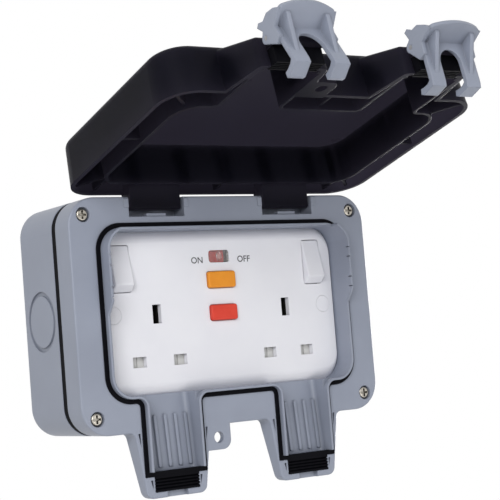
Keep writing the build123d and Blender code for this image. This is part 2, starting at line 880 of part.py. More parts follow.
with BuildPart() as lid_walls:
    with BuildSketch(front(tongue_foot)):
        add(tongue_outer_outline)
        add(tongue_inner_outline, mode=Mode.SUBTRACT)
        for direction in sides.values():
            with Locations((direction * outlet_x, cable_seal_top_z)):
                Rectangle(channel_width, cable_seal_length, mode=Mode.SUBTRACT)
    extrude(amount=lid_top - tongue_foot)
    with BuildSketch(front(lid_rim + lid_rib_drop)):
        with Locations((0, lid_side_rib_z)):
            Rectangle(lid_width, lid_rib_width)
        with Locations((0, lid_height / 4), (0, -lid_height / 4)):
            Rectangle(lid_rib_width, lid_height / 2)
        for x in (-lid_top_rib_x, 0, lid_top_rib_x):
            with Locations((x, lid_height / 4)):
                Rectangle(lid_rib_width, lid_height / 2)
        for sx in (-1, 1):
            for sz in (-1, 1):
                with Locations((sx * opening_width / 2, sz * opening_height / 2)):
                    Rectangle(lid_rib_width, body_corner * 3, rotation=-45 * sx * sz)
        add(tongue_inner_outline, mode=Mode.SUBTRACT)
    extrude(amount=lid_top - lid_rim - lid_rib_drop)
    add(lid_form.part, mode=Mode.INTERSECT)

with BuildPart() as lid:
    add(lid_form.part)
    add(lid_hollow.part, mode=Mode.SUBTRACT)
    add(lid_walls.part)

    # Hinge knuckles, square to the wall when the lid is open
    for direction in sides.values():
        with BuildSketch(side(direction * outlet_x - knuckle_width / 2)):
            with Locations(at(hinge_height, hinge_z)):
                RectangleRounded(
                    2 * knuckle_front, 2 * knuckle_foot, knuckle_corner, rotation=lid_open_angle
                )
            lean = radians(lid_open_angle - 90)
            Polygon(
                at(hinge_height - knuckle_front * sin(lean), hinge_z - knuckle_front * cos(lean)),
                at(
                    hinge_height - knuckle_front * sin(lean) + knuckle_web * cos(lean),
                    hinge_z - knuckle_front * cos(lean) - knuckle_web * sin(lean),
                ),
                at(lid_inside, hinge_z - knuckle_foot),
                at(lid_inside, hinge_z),
                at(lid_rim, lid_height / 2),
                at(hinge_height, hinge_z + knuckle_foot),
                align=None,
            )
        extrude(amount=knuckle_width)

    # Padlock lug and the blocks that carry the latch pins
    extrude(lug_outline(lid_rim), amount=lug_thickness)
    block_half = latch_ear_inner - latch_ear_gap
    for direction in sides.values():
        with BuildSketch(side(direction * outlet_x - block_half)):
            with Locations(at(latch_pin_height, latch_pin_z)):
                Circle(latch_barrel_radius)
            Polygon(
                at(latch_pin_height - latch_barrel_radius, latch_pin_z),
                at(latch_pin_height - latch_barrel_radius, lid_end_z + lid_wall),
                at(latch_pin_height + latch_barrel_radius, lid_end_z + lid_wall),
                at(latch_pin_height + latch_barrel_radius, latch_pin_z),
                align=None,
            )
        extrude(amount=2 * block_half)

    # Mouths for the lid's cable seals, and the holes for both kinds of pin
    with BuildSketch(front(lid_rim)):
        with Locations((-outlet_x, cable_seal_mid_z), (outlet_x, cable_seal_mid_z)):
            Rectangle(cable_seal_width, cable_seal_length)
    extrude(amount=latch_pin_height - latch_barrel_radius - lid_rim, mode=Mode.SUBTRACT)
    for direction in sides.values():
        with BuildSketch(side(direction * outlet_x - hinge_pin_length / 2)):
            with Locations(at(hinge_height, hinge_z)):
                Circle(hinge_pin_radius + hinge_running_gap)
            with Locations(at(latch_pin_height, latch_pin_z)):
                Circle(latch_pin_radius + press_gap)
        extrude(amount=hinge_pin_length, mode=Mode.SUBTRACT)
finish_open(lid, "lid")

# Cable seals in the lid
for name, direction in sides.items():
    with BuildPart() as lid_cable_seal:
        with BuildSketch(front(tongue_foot)):
            with Locations((direction * outlet_x, cable_seal_mid_z)):
                Rectangle(cable_seal_width, cable_seal_length)
        extrude(amount=latch_pin_height - latch_barrel_radius - tongue_foot)
        grooves = ridge_grooves(tongue_foot, tongue_foot + cable_seal_groove)
        extrude(grooves, amount=body_width / 2, both=True, mode=Mode.SUBTRACT)
    finish_open(lid_cable_seal, f"lid_cable_seal_{name}")

# Latches, drawn on the shut lid as they hang when it is open
for name, direction in sides.items():
    centre = direction * outlet_x
    with BuildPart() as latch:
        with BuildSketch(side(centre - latch_width / 2)):
            Polygon(*from_latch_pin(latch_leg_points), align=None)
        extrude(amount=latch_width)

        # Arch between the legs
        arch_half = latch_width / 2 - latch_leg_width
        with BuildSketch(Plane((0, 0, latch_pin_z), x_dir=(1, 0, 0), z_dir=(0, 0, -1))):
            with Locations((centre, latch_pin_height - latch_arch_drop - arch_half)):
                Circle(arch_half)
                Rectangle(2 * arch_half, latch_pin_height, align=(Align.CENTER, Align.MAX))
        extrude(amount=latch_pin_height, mode=Mode.SUBTRACT)

        # Thumb tab, a sheet with a round edge that leans outwards
        tab_foot = from_latch_pin([latch_tab_foot])[0]
        tab_plane = Plane(
            origin=(centre, *tab_foot),
            x_dir=(1, 0, 0),
            z_dir=(0, sin(radians(latch_tab_lean)), -cos(radians(latch_tab_lean))),
        )
        with BuildSketch(tab_plane):
            with BuildLine():
                Polyline(
                    (-latch_width / 2, latch_tab_shoulder),
                    (-latch_width / 2, -latch_sheet / 2),
                    (latch_width / 2, -latch_sheet / 2),
                    (latch_width / 2, latch_tab_shoulder),
                )
                ThreePointArc(
                    (-latch_width / 2, latch_tab_shoulder),
                    (0, latch_tab_length),
                    (latch_width / 2, latch_tab_shoulder),
                )
            make_face()
            fillet(vertices().group_by(Axis.Y)[-1], latch_tab_round)
        extrude(amount=-latch_sheet)

        # Ears with their stops, and a fin on each leg
        for ear in (-1, 1):
            ear_inner = centre + ear * latch_ear_inner
            with BuildSketch(side(ear_inner)):
                Polygon(*from_latch_pin(latch_ear_points), align=None)
                with Locations(at(latch_pin_height, latch_pin_z)):
                    Circle(latch_eye_radius)
            extrude(amount=ear * latch_ear_width)
            fin_x = centre + ear * (latch_width - latch_leg_width) / 2
            with BuildSketch(side(fin_x - latch_fin_width / 2)):
                Polygon(*from_latch_pin(latch_fin_points), align=None)
            extrude(amount=latch_fin_width)
        with BuildSketch(side(centre - latch_width)):
            with Locations(at(latch_pin_height, latch_pin_z)):
                Circle(latch_pin_radius + hinge_running_gap)
        extrude(amount=2 * latch_width, mode=Mode.SUBTRACT)
    latch.part = latch.part.rotate(latch_axis, latch_rest_angles[name])
    finish_open(latch, f"latch_{name}")

    with BuildPart() as latch_pin:
        with BuildSketch(side(centre - latch_width / 2 - latch_ear_width / 2)):
            with Locations(at(latch_pin_height, latch_pin_z)):
                Circle(latch_pin_radius)
        extrude(amount=latch_width + latch_ear_width)
    finish_open(latch_pin, f"latch_pin_{name}")

# Socket plate
with BuildPart() as socket_plate:
    with BuildSketch(front(plate_skirt)):
        with Locations((0, opening_centre_z)):
            RectangleRounded(plate_width, plate_height, plate_corner)
    extrude(amount=plate_land - plate_skirt)
    for inset, rise in plate_bevel_curve:
        with BuildSketch(front(plate_land + rise * plate_land_drop)):
            with Locations((0, opening_centre_z)):
                RectangleRounded(
                    opening_width - 2 * press_gap - 2 * inset * plate_bevel_side,
                    opening_height - 2 * press_gap - 2 * inset * plate_bevel_end,
                    opening_corner - press_gap - inset * plate_bevel_side,
                )
    loft()
    with BuildSketch(front(plate_skirt)):
        with Locations((0, opening_centre_z)):
            RectangleRounded(base_width + 2 * base_gap, base_height + 2 * base_gap, base_corner + base_gap)
    extrude(amount=plate_back - plate_skirt, mode=Mode.SUBTRACT)

    # Screw bosses with room for the screw heads and their caps
    with BuildSketch(front(plate_boss_foot)):
        with Locations((-plate_screw_x, 0), (plate_screw_x, 0)):
            Circle(plate_boss_radius)
    extrude(amount=plate_boss_depth)
    for foot, radius in (
        (plate_boss_foot, plate_screw_radius + running_gap),
        (plate_screw_seat, plate_screw_head_radius + cap_gap),
        (cap_foot, cap_radius + cap_gap),
    ):
        with BuildSketch(front(foot)):
            with Locations((-plate_screw_x, 0), (plate_screw_x, 0)):
                Circle(radius)
        extrude(amount=plate_face - foot, mode=Mode.SUBTRACT)

    # Pin apertures, rocker apertures, button holes and the window
    with BuildSketch(front(plate_back)):
        for direction in sides.values():
            for x, z, width, height in pin_places.values():
                with Locations((direction * socket_x + x, z)):
                    Rectangle(width, height)
            with Locations((direction * rocker_x, rocker_z)):
                RectangleRounded(rocker_width, rocker_height, rocker_corner)
        for size, z in ((reset_size, reset_z), (test_size, test_z)):
            with Locations((0, z)):
                RectangleRounded(
                    size[0] + 2 * button_gap, size[1] + 2 * button_gap, button_corner + button_gap
                )
        with Locations((0, window_z)):
            RectangleRounded(
                window_size[0] + 2 * window_gap, window_size[1] + 2 * window_gap, window_corner + window_gap
            )
    extrude(amount=plate_sheet, mode=Mode.SUBTRACT)

    # Sockets for the rocker trunnions
    trunnion_span = rocker_width + 2 * rocker_trunnion_length
    for direction in sides.values():
        with BuildSketch(side(direction * rocker_x - trunnion_span / 2)):
            with Locations(at(rocker_axis_height, rocker_z)):
                Circle(rocker_trunnion_radius + hinge_running_gap)
        extrude(amount=trunnion_span, mode=Mode.SUBTRACT)
finish(socket_plate, "socket_plate")

# Screw caps and the screws under them
for name, direction in sides.items():
    with BuildPart() as screw_cap:
        with BuildSketch(front(cap_foot)):
            with Locations((direction * plate_screw_x, 0)):
                Circle(cap_radius)
        extrude(amount=cap_thickness)
    finish(screw_cap, f"screw_cap_{name}")

with BuildPart() as plate_screws:
    with BuildSketch(front(plate_screw_seat - plate_screw_length)):
        with Locations((-plate_screw_x, 0), (plate_screw_x, 0)):
            Circle(plate_screw_radius)
    extrude(amount=plate_screw_length)
    with BuildSketch(front(plate_screw_seat)):
        with Locations((-plate_screw_x, 0), (plate_screw_x, 0)):
            Circle(plate_screw_head_radius)
    extrude(amount=plate_screw_head_height)
finish(plate_screws, "plate_screws")

# Rockers: paddles with a sloping foot, tipped so that the nose above it stands out
rocker_reach = rocker_height / 2 - rocker_gap
for name, direction in sides.items():
    with BuildPart() as rocker:
        paddle_width = rocker_width - 2 * rocker_gap
        with BuildSketch(side(direction * rocker_x - paddle_width / 2)):
            with Locations(at(rocker_axis_height, rocker_z)):
                Circle(rocker_reach)
                Polygon(
                    at(rocker_top_rise, rocker_reach),
                    at(rocker_nose_rise, -rocker_nose_drop),
                    at(rocker_foot_rise, -rocker_reach),
                    at(-rocker_axis_drop, -rocker_reach),
                    at(-rocker_keel, -rocker_reach / 3),
                    at(-rocker_keel, rocker_reach / 3),
                    at(-rocker_axis_drop, rocker_reach),
                    align=None,
                    mode=Mode.INTERSECT,
                )
        extrude(amount=paddle_width)
        fillet(rocker.edges(), rocker_edge)
        trunnion_width = paddle_width + 2 * rocker_trunnion_length
        with BuildSketch(side(direction * rocker_x - trunnion_width / 2)):
            with Locations(at(rocker_axis_height, rocker_z)):
                Circle(rocker_trunnion_radius)
        extrude(amount=trunnion_width)
    finish(rocker, f"rocker_{name}")

# Reset and test buttons, held in by a flange behind the plate
for name, size, z in (("reset_button", reset_size, reset_z), ("test_button", test_size, test_z)):
    with BuildPart() as button:
        flange_top = plate_back - running_gap
        with BuildSketch(front(flange_top)):
            with Locations((0, z)):
                RectangleRounded(size[0], size[1], button_corner)
        extrude(amount=plate_face + button_rise - flange_top)
        fillet(button.faces().sort_by(Axis.Y)[0].edges(), button_edge)
        with BuildSketch(front(flange_top - button_flange_depth)):
            with Locations((0, z)):
                Rectangle(size[0] + 2 * button_flange, size[1] + 2 * button_flange)
        extrude(amount=button_flange_depth)
    finish(button, name)

# Indicator window and the flag behind it
with BuildPart() as indicator_window:
    with BuildSketch(front(plate_face - window_thickness)):
        with Locations((0, window_z)):
            RectangleRounded(window_size[0], window_size[1], window_corner)
    extrude(amount=window_thickness)
    chamfer(indicator_window.faces().sort_by(Axis.Y)[0].edges(), button_edge / 2)
finish(indicator_window, "indicator_window")

with BuildPart() as indicator_flag:
    flag_back = plate_back - running_gap - flag_thickness
    with BuildSketch(front(flag_back)):
        with Locations((flag_travel / 2, window_z)):
            Rectangle(window_size[0] + flag_travel + 2 * flag_overlap, flag_height)
    extrude(amount=flag_thickness)
    with BuildSketch(front(board_top + running_gap)):
        with Locations((0, window_z)):
            Rectangle(flag_stem_width, flag_stem_width)
    extrude(amount=flag_back - board_top - running_gap)
finish(indicator_flag, "indicator_flag")

# Shutters, each one bar over the live and neutral apertures with a stem up to the earth slot
for name, direction in sides.items():
    with BuildPart() as shutter:
        bar_top = pole_z + pole_slot_height / 2 + shutter_cover
        bar_height = pole_slot_height + shutter_cover + shutter_tail
        with BuildSketch(front(plate_back - running_gap - shutter_thickness)):
            with Locations((direction * socket_x, bar_top)):
                Rectangle(shutter_width, bar_height, align=(Align.CENTER, Align.MAX))
                Rectangle(
                    shutter_stem_width, shutter_stem_top_z - bar_top, align=(Align.CENTER, Align.MIN)
                )
        extrude(amount=shutter_thickness)
        with BuildSketch(front(plate_back - running_gap - shutter_groove)):
            socket_centre = direction * socket_x
            with Locations((socket_centre - pole_x, bar_top), (socket_centre + pole_x, bar_top)):
                Rectangle(shutter_groove, bar_height, align=(Align.CENTER, Align.MAX))
        extrude(amount=shutter_groove, mode=Mode.SUBTRACT)
    finish(shutter, f"shutter_{name}")

# Rear moulding
with BuildPart() as socket_base:
    with BuildSketch(front(base_back_height)):
        with Locations((0, opening_centre_z)):
            RectangleRounded(base_width, base_height, base_corner)
        with Locations((-plate_screw_x, 0), (plate_screw_x, 0)):
            Circle(base_notch_radius, mode=Mode.SUBTRACT)
    extrude(amount=tower_top - base_back_height)
    with BuildSketch(front(base_floor_height)):
        with Locations((0, opening_centre_z)):
            RectangleRounded(
                base_width - 2 * base_wall, base_height - 2 * base_wall, base_corner - base_wall
            )
        with Locations((-plate_screw_x, 0), (plate_screw_x, 0)):
            Circle(base_notch_radius + base_wall, mode=Mode.SUBTRACT)
    extrude(amount=tower_top - base_floor_height, mode=Mode.SUBTRACT)
    with BuildSketch(front(base_back_height)):
        for direction in sides.values():
            for x, z, width, height in pin_places.values():
                with Locations((direction * socket_x + x, z)):
                    tower_rim = 2 * (contact_play + tower_wall)
                    Rectangle(width + tower_rim, height + tower_rim)
    extrude(amount=tower_top - base_back_height)
    with BuildSketch(front(base_back_height)):
        with Locations(*base_pads):
            Circle(base_pad_radius)
    extrude(amount=plate_back - base_back_height)
    with BuildSketch(front(base_back_height)):
        with Locations((0, opening_centre_z)):
            with GridLocations(2 * board_post_x, board_length - 2 * board_post_inset, 2, 2):
                Circle(board_post_radius)
    extrude(amount=board_back - base_back_height)
    with BuildSketch(front(base_floor_height)):
        for direction in sides.values():
            for x, z, width, height in pin_places.values():
                with Locations((direction * socket_x + x, z)):
                    Rectangle(width + 2 * contact_play, height + 2 * contact_play)
    extrude(amount=tower_top - base_floor_height, mode=Mode.SUBTRACT)
finish(socket_base, "socket_base")

# Brass clips that grip the plug's pins
for name, direction in sides.items():
    for pole, (x, z, width, height) in pin_places.items():
        with BuildPart() as contact:
            clip_width = width + 2 * contact_play - 2 * contact_gap
            clip_height = height + 2 * contact_play - 2 * contact_gap
            mouth = (contact_mouth, height * 2) if pole == "earth" else (width * 2, contact_mouth)
            with BuildSketch(front(base_floor_height)):
                with Locations((direction * socket_x + x, z)):
                    Rectangle(clip_width, clip_height)
            extrude(amount=contact_length)
            with BuildSketch(front(base_floor_height + contact_web)):
                with Locations((direction * socket_x + x, z)):
                    Rectangle(*mouth)
            extrude(amount=contact_length, mode=Mode.SUBTRACT)
        finish(contact, f"{pole}_contact_{name}")

# Terminals on the back of the rear moulding
terminal_places = [(-terminal_x, terminal_z), (0, terminal_z), (terminal_x, terminal_z)]
terminal_foot = base_back_height - terminal_depth
with BuildPart() as terminal_blocks:
    with BuildSketch(front(terminal_foot)):
        with Locations(*terminal_places):
            Rectangle(*terminal_size)
    extrude(amount=terminal_depth)
    with BuildSketch(Plane.XY.offset(terminal_z - terminal_size[1])):
        with Locations(*[(x, -(base_back_height - terminal_depth / 2)) for x, z in terminal_places]):
            Circle(terminal_hole_radius)
    extrude(amount=2 * terminal_size[1], mode=Mode.SUBTRACT)
    with BuildSketch(front(terminal_foot)):
        with Locations(*terminal_places):
            Circle(terminal_screw_radius + press_gap)
    extrude(amount=terminal_depth / 2, mode=Mode.SUBTRACT)
finish(terminal_blocks, "terminal_blocks")

with BuildPart() as terminal_screws:
    with BuildSketch(front(terminal_foot + terminal_depth / 2 - terminal_hole_radius)):
        with Locations(*terminal_places):
            Circle(terminal_screw_radius)
    extrude(amount=-terminal_screw_length)
finish(terminal_screws, "terminal_screws")

# Residual-current trip: board, sensing coil and solenoid
with BuildPart() as rcd_board:
    with BuildSketch(front(board_back)):
        with Locations((0, opening_centre_z)):
            Rectangle(board_width, board_length)
    extrude(amount=board_thickness)
finish(rcd_board, "rcd_board")

with BuildPart() as rcd_coil:
    with BuildSketch(front(board_top)):
        with Locations((0, coil_z)):
            Circle(coil_radius)
            Circle(coil_hole_radius, mode=Mode.SUBTRACT)
    extrude(amount=coil_thickness)
finish(rcd_coil, "rcd_coil")

with BuildPart() as trip_solenoid:
    with BuildSketch(front(board_top)):
        with Locations((0, solenoid_z)):
            RectangleRounded(*solenoid_size, solenoid_corner)
    extrude(amount=solenoid_height)
finish(trip_solenoid, "trip_solenoid")
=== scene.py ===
"""Looks for an outdoor weatherproof socket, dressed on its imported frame."""
from math import cos, pi, radians, sin

import bmesh
import bpy
from mathutils import Matrix, Vector


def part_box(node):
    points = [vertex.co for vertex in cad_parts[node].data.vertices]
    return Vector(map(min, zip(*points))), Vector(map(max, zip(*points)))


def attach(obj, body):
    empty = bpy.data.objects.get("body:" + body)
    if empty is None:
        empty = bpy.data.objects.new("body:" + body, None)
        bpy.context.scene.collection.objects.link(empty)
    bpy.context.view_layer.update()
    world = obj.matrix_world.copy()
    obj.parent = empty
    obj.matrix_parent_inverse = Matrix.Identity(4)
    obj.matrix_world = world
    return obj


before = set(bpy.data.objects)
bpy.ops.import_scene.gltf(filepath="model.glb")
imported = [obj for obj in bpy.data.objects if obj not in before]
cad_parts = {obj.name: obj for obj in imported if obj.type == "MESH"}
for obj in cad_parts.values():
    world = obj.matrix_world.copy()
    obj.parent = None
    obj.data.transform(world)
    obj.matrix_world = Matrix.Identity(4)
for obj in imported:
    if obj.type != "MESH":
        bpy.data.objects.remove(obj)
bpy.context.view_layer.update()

MM = 0.001

# Camera of the photograph: a long lens from the lower left, its axes in the part's own frame
CAMERA_PLACE_MM = (-382.651, -646.204, -23.639)
CAMERA_RIGHT = (0.83265, -0.547933, -0.080395)
CAMERA_UP = (0.027254, -0.104451, 0.994157)
CAMERA_FORWARD = (0.553128, 0.829976, 0.072037)
CAMERA_LENS_MM = 105.38
CAMERA_SENSOR_MM = 36.0
CAMERA_NEAR_MM = 10.0

# Words on the plate: name, letters and place across; capitals stand 0.7 of the font's size
PLATE_WORDS = (("word_on", "ON", -12.6), ("word_off", "OFF", 14.3))
WORD_HEIGHT_MM = 3.0
WORD_BELOW_WINDOW_MM = 1.8
WORD_BOLDER_MM = 0.05
CAPITAL_SHARE = 0.7

# Print and dome stand this far off the plate, so that no two faces coincide
PROUD_MM = 0.03

# Indicator: where the flag's paint changes, its specks, and the dome moulded in the window
FLAG_SPLIT_MM = 4.0
FLAG_SPECK_MM = 0.8
DOME_HALF_MM = (1.6, 0.8, 2.3)
DOME_MERIDIANS = 32
DOME_RINGS = 16

# Lid at rest: how far it stands open, where the face of its hinge wall lies from the hinge pins' line,
# half a knuckle's width, and the distances from a rib between which the wall turns from painted rib shadow
# to painted light
LID_OPEN = radians(105)
HINGE_WALL_DROP_MM = 11.5
HINGE_WALL_BAND_MM = 0.8
KNUCKLE_HALF_MM = 13.5
RIB_SHADE_MM = (1.0, 6.5)

# Share of the light that enters a smoked wall instead of leaving its face
WALL_GLOW = 0.42

# How far gloss varies over a surface, and the part of the noise in which a moulding's colour changes
GLOSS_SPREAD = 0.06
METAL_GLOSS_SPREAD = 0.1
CLOUD_RANGE = (0.3, 0.7)

# How much of its colour a surface keeps deep in a crevice, where shade is painted in
PLASTIC_KEEP = 0.55
METAL_KEEP = 0.12
METAL_CREVICE_SHADE_MM = 1.6
CREVICE_SAMPLES = 8

# Softened edges
METAL_EDGE_MM = 0.15
EDGE_SAMPLES = 6

# Flow marks in the clear window
FLOW_MM = 3.0
FLOW_DEPTH_MM = 0.05

# Floor, in metres: well below a part that hangs on a wall, with a fade to white further out
FLOOR_HALF = 1.2
FLOOR_Z = -0.35
FLOOR_FADE_MM = (400.0, 1100.0)
FLOOR_WHITE = (0.6, 1.0)

# Strength of the white surround where it lights the object, and where it is seen
SURROUND_LIGHT = 0.38
SURROUND_SEEN = 1.0

# Places taken from the frame, in millimetres
plate_face_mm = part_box("socket_plate")[0].y / MM
window_mm = sum(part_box("indicator_window"), Vector()) / 2 / MM
hinge_mm = sum(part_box("hinge_pin_right"), Vector()) / 2 / MM
hinge_wall_normal = Vector((0, sin(LID_OPEN), cos(LID_OPEN)))
hinge_wall_mm = hinge_wall_normal.dot(hinge_mm) - HINGE_WALL_DROP_MM


def linear(hex_colour):
    """Linear RGBA of an sRGB hex colour."""
    channels = [int(hex_colour[i:i + 2], 16) / 255 for i in (1, 3, 5)]
    return [c / 12.92 if c <= 0.04045 else ((c + 0.055) / 1.055) ** 2.4 for c in channels] + [1.0]


def add_node(tree, kind, inputs=None, **settings):
    """Add a node, set its properties, then set or link its inputs."""
    node = tree.nodes.new(kind)
    for key, value in settings.items():
        setattr(node, key, value)
    for key, value in (inputs or {}).items():
        if isinstance(value, bpy.types.NodeSocket):
            tree.links.new(value, node.inputs[key])
        else:
            node.inputs[key].default_value = value
    return node


def new_material(name):
    """Empty node material, its tree and its output node."""
    material = bpy.data.materials.new(name)
    material.use_nodes = True
    tree = material.node_tree
    tree.nodes.clear()
    return material, tree, add_node(tree, "ShaderNodeOutputMaterial")


def new_object(name, data):
    """Object with this data, in the scene."""
    thing = bpy.data.objects.new(name, data)
    bpy.context.scene.collection.objects.link(thing)
    return thing


def millimetres(tree):
    """Object coordinates counted in millimetres."""
    place = add_node(tree, "ShaderNodeTexCoord")
    return add_node(
        tree, "ShaderNodeVectorMath", {0: place.outputs["Object"], 1: Vector((1, 1, 1)) / MM},
        operation="MULTIPLY",
    ).outputs["Vector"]


def crevice_shade_paint(tree, colour, reach_mm, keep_share):
    """Colour darkened in grooves and corners by painted shade."""
    shelter = add_node(
        tree, "ShaderNodeAmbientOcclusion", {"Distance": reach_mm * MM},
        samples=CREVICE_SAMPLES, only_local=True,
    )
    keep = add_node(
        tree, "ShaderNodeMapRange",
        {"Value": shelter.outputs["AO"], "To Min": keep_share, "To Max": 1.0},
    )
    return add_node(
        tree, "ShaderNodeVectorMath", {0: colour, "Scale": keep.outputs["Result"]}, operation="SCALE"
    ).outputs["Vector"]


def hinge_wall_light_paint(tree, place):
    """Mask of painted light on the lid's hinge wall: 1 on the wall, falling to 0 in the painted shadow
    where a rib or a knuckle's side stands behind it, and 0 elsewhere.
    """
    distance = add_node(tree, "ShaderNodeSeparateXYZ", {"Vector": place}).outputs["X"]
    # The lid's width folded at the middle rib, then at the knuckles' centres, then at their sides
    folds = []
    for fold_mm in (0, hinge_mm.x, KNUCKLE_HALF_MM):
        moved = add_node(tree, "ShaderNodeMath", {0: distance, 1: fold_mm}, operation="SUBTRACT")
        folded = add_node(tree, "ShaderNodeMath", {0: moved.outputs["Value"]}, operation="ABSOLUTE")
        distance = folded.outputs["Value"]
        folds.append(distance)
    from_middle, _, from_side = folds
    nearest = add_node(tree, "ShaderNodeMath", {0: from_middle, 1: from_side}, operation="MINIMUM")
    # Painted rib shadow: dark within the nearer distance of a rib, clear beyond the farther
    clear = add_node(
        tree, "ShaderNodeMapRange",
        {"Value": nearest.outputs["Value"], "From Min": RIB_SHADE_MM[0], "From Max": RIB_SHADE_MM[1]},
        interpolation_type="SMOOTHSTEP",
    )
    depth = add_node(
        tree, "ShaderNodeVectorMath", {0: place, 1: hinge_wall_normal}, operation="DOT_PRODUCT"
    )
    on_wall = add_node(
        tree, "ShaderNodeMath", {0: depth.outputs["Value"], 1: hinge_wall_mm, 2: HINGE_WALL_BAND_MM},
        operation="COMPARE",
    )
    return add_node(
        tree, "ShaderNodeMath", {0: on_wall.outputs["Value"], 1: clear.outputs["Result"]},
        operation="MULTIPLY",
    ).outputs["Value"]


def moulded(
    name, colour, shade, roughness, grain_mm, grain_depth_mm, edge_mm,
    blotch_mm=22.0, specular=0.5, glow=None, crevice_shade_mm=None, painted_wall_light=None,
):
    """Moulded plastic or rubber: cloudy colour, tool texture, softened edges and uneven gloss.

    The texture is drawn coarser than a real tool's, so that it shows. With a glow colour, its walls let a
    little light through, as smoked plastic does. With a crevice reach, painted shade darkens its colour in
    grooves. With a wall-light colour, the lid's hinge wall is painted that lighter colour between the ribs
    behind it, which leaves painted rib shadows.
    """
    material, tree, output = new_material(name)
    place = millimetres(tree)
    blotch = add_node(
        tree, "ShaderNodeTexNoise", {"Vector": place, "Scale": 1 / blotch_mm, "Detail": 4.0}
    )
    colours = add_node(tree, "ShaderNodeValToRGB", {"Fac": blotch.outputs["Fac"]})
    for stop, position, tone in zip(colours.color_ramp.elements, CLOUD_RANGE, (shade, colour)):
        stop.position = position
        stop.color = linear(tone)
    gloss = add_node(
        tree, "ShaderNodeMapRange",
        {"Value": blotch.outputs["Fac"],
         "To Min": roughness - GLOSS_SPREAD, "To Max": roughness + GLOSS_SPREAD},
    )
    edges = add_node(tree, "ShaderNodeBevel", {"Radius": edge_mm * MM}, samples=EDGE_SAMPLES)
    grain = add_node(
        tree, "ShaderNodeTexNoise", {"Vector": place, "Scale": 1 / grain_mm, "Detail": 3.0}
    )
    bump = add_node(
        tree, "ShaderNodeBump",
        {"Height": grain.outputs["Fac"], "Strength": 1.0, "Distance": grain_depth_mm * MM,
         "Normal": edges.outputs["Normal"]},
    )
    body_colour = colours.outputs["Color"]
    # Painted shade in grooves and corners
    if crevice_shade_mm:
        body_colour = crevice_shade_paint(tree, body_colour, crevice_shade_mm, PLASTIC_KEEP)
    # Painted light on the hinge wall between the ribs behind it, painted shadow at the ribs
    if painted_wall_light:
        body_colour = add_node(
            tree, "ShaderNodeMix",
            {"Factor": hinge_wall_light_paint(tree, place), 6: body_colour, 7: linear(painted_wall_light)},
            data_type="RGBA",
        ).outputs[2]
    shader = add_node(
        tree, "ShaderNodeBsdfPrincipled",
        {"Base Color": body_colour, "Roughness": gloss.outputs["Result"],
         "Normal": bump.outputs["Normal"], "Specular IOR Level": specular},
    )
    surface = shader.outputs["BSDF"]
    if glow:
        through = add_node(tree, "ShaderNodeBsdfTranslucent", {"Color": linear(glow)})
        surface = add_node(
            tree, "ShaderNodeMixShader", {"Fac": WALL_GLOW, 1: surface, 2: through.outputs["BSDF"]}
        ).outputs["Shader"]
    tree.links.new(surface, output.inputs["Surface"])
    return material


def drawn_metal(name, colour, shade, roughness, scratch_mm):
    """Plated or bare metal with drawn scratches, coarser than real ones so that they show, and painted
    shade in its crevices.
    """
    material, tree, output = new_material(name)
    scratch = add_node(
        tree, "ShaderNodeTexNoise",
        {"Vector": millimetres(tree), "Scale": 1 / scratch_mm, "Detail": 5.0},
    )
    colours = add_node(tree, "ShaderNodeValToRGB", {"Fac": scratch.outputs["Fac"]})
    for stop, tone in zip(colours.color_ramp.elements, (shade, colour)):
        stop.color = linear(tone)
    gloss = add_node(
        tree, "ShaderNodeMapRange",
        {"Value": scratch.outputs["Fac"],
         "To Min": roughness - METAL_GLOSS_SPREAD, "To Max": roughness + METAL_GLOSS_SPREAD},
    )
    edges = add_node(tree, "ShaderNodeBevel", {"Radius": METAL_EDGE_MM * MM}, samples=EDGE_SAMPLES)
    # Painted shade in the crosses and other crevices
    body_colour = crevice_shade_paint(tree, colours.outputs["Color"], METAL_CREVICE_SHADE_MM, METAL_KEEP)
    shader = add_node(
        tree, "ShaderNodeBsdfPrincipled",
        {"Base Color": body_colour, "Metallic": 1.0, "Roughness": gloss.outputs["Result"],
         "Normal": edges.outputs["Normal"]},
    )
    tree.links.new(shader.outputs["BSDF"], output.inputs["Surface"])
    return material


def clear_polycarbonate():
    """Clear moulded window: sharp reflections, with slight flow marks, over what lies behind it."""
    material, tree, output = new_material("clear_polycarbonate")
    flow = add_node(
        tree, "ShaderNodeTexNoise", {"Vector": millimetres(tree), "Scale": 1 / FLOW_MM, "Detail": 1.0}
    )
    bump = add_node(
        tree, "ShaderNodeBump",
        {"Height": flow.outputs["Fac"], "Strength": 0.4, "Distance": FLOW_DEPTH_MM * MM},
    )
    shader = add_node(
        tree, "ShaderNodeBsdfPrincipled",
        {"Base Color": linear("#F4F2F0"), "Roughness": 0.05, "IOR": 1.58, "Transmission Weight": 0.97,
         "Normal": bump.outputs["Normal"]},
    )
    tree.links.new(shader.outputs["BSDF"], output.inputs["Surface"])
    return material


